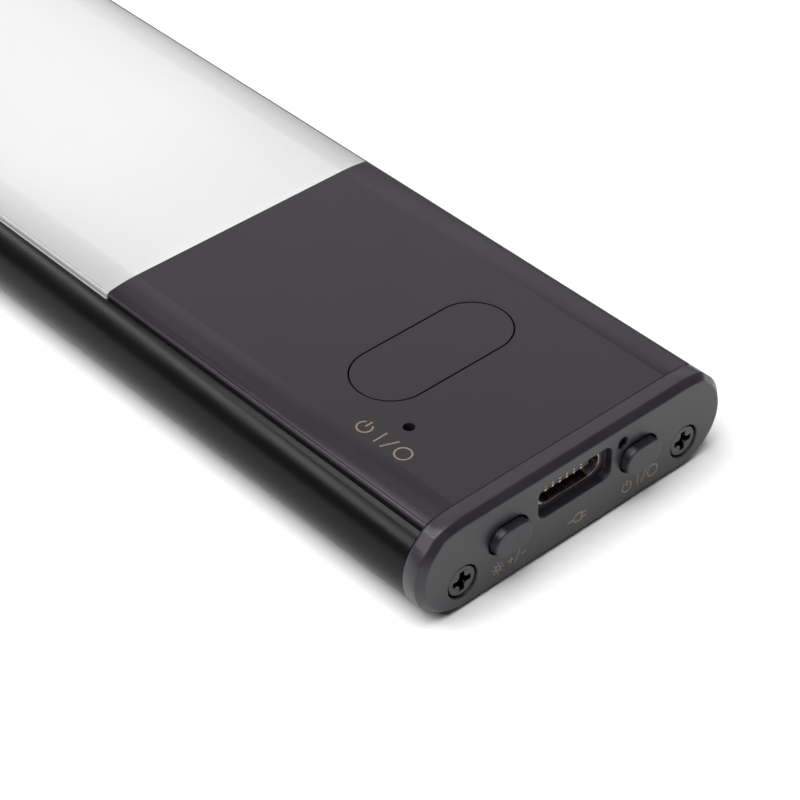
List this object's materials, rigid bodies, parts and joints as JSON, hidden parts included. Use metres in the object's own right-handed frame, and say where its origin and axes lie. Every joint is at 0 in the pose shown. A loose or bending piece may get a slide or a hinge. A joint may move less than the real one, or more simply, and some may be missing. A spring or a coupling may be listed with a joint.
{
  "type": "led light tube",
  "caption": "Flat rechargeable LED light bar: black extruded channel with rounded sides, frosted diffuser, control panel with an oval key, and end caps with push buttons and a charging socket.",
  "frame": {"origin": "centre of the bounding box in X and Y, on the flat underside", "axes": "+X along the bar to the socket end, +Y across it, +Z out of the lit side"},
  "size_m": [0.3, 0.043, 0.0116],
  "materials": {
    "channel_black_anodised": "satin black anodised",
    "magnet_rubber": "matte",
    "diffuser_opal": "frosted opal",
    "light_guide_clear": "clear polished",
    "reflector_white": "matte white",
    "strip_white": "solder mask",
    "emitter_phosphor": "phosphor",
    "panel_plastic": "fine matte",
    "cap_plastic": "fine matte",
    "button_plastic": "fine matte",
    "screw_black": "black zinc",
    "board_green": "solder mask",
    "socket_steel": "satin",
    "socket_insulator": "matte",
    "contact_gold": "gold plated",
    "component_black": "moulded",
    "plunger_grey": "moulded",
    "led_lens": "clear",
    "pipe_smoke": "smoked clear",
    "cell_foil": "foil pouch",
    "tape_cream": "paper",
    "wire_red": "insulation",
    "wire_black": "insulation",
    "wire_white": "insulation"
  },
  "bodies": {
    "bar": {"housing": "channel_black_anodised", "magnet_strip": "magnet_rubber", "diffuser": "diffuser_opal", "light_guide": "light_guide_clear", "reflector": "reflector_white", "led_strip_near": "strip_white", "led_strip_far": "strip_white", "led_chips": "emitter_phosphor", "control_panel": "panel_plastic", "end_cap_front": "cap_plastic", "end_cap_rear": "cap_plastic", "cap_screws": "screw_black", "control_board": "board_green", "usb_shell": "socket_steel", "usb_tongue": "socket_insulator", "usb_contacts": "contact_gold", "side_switches": "component_black", "key_switch": "component_black", "indicator_led": "led_lens", "indicator_pipe": "pipe_smoke", "light_sensor": "component_black", "sensor_sleeve": "component_black", "charge_chip": "component_black", "driver_chip": "component_black", "inductor": "component_black", "battery_cell_front": "cell_foil", "battery_cell_rear": "cell_foil", "battery_tape": "tape_cream", "lead_red": "wire_red", "lead_black": "wire_black", "led_leads": "wire_white"},
    "dim_push": {"dim_button": "button_plastic", "dim_plunger": "plunger_grey"},
    "power_push": {"power_button": "button_plastic", "power_plunger": "plunger_grey"},
    "mode_push": {"mode_key": "panel_plastic", "mode_plunger": "plunger_grey"}
  },
  "joints": [
    {"name": "dim_button_slide", "type": "slide", "parent": "bar", "child": "dim_push", "axis": [-1, 0, 0], "range_m": [0, 0.0004], "stiffness_N_per_m": 400},
    {"name": "power_button_slide", "type": "slide", "parent": "bar", "child": "power_push", "axis": [-1, 0, 0], "range_m": [0, 0.0004], "stiffness_N_per_m": 400},
    {"name": "mode_key_slide", "type": "slide", "parent": "bar", "child": "mode_push", "axis": [0, 0, -1], "range_m": [0, 0.0003], "stiffness_N_per_m": 500}
  ]
}
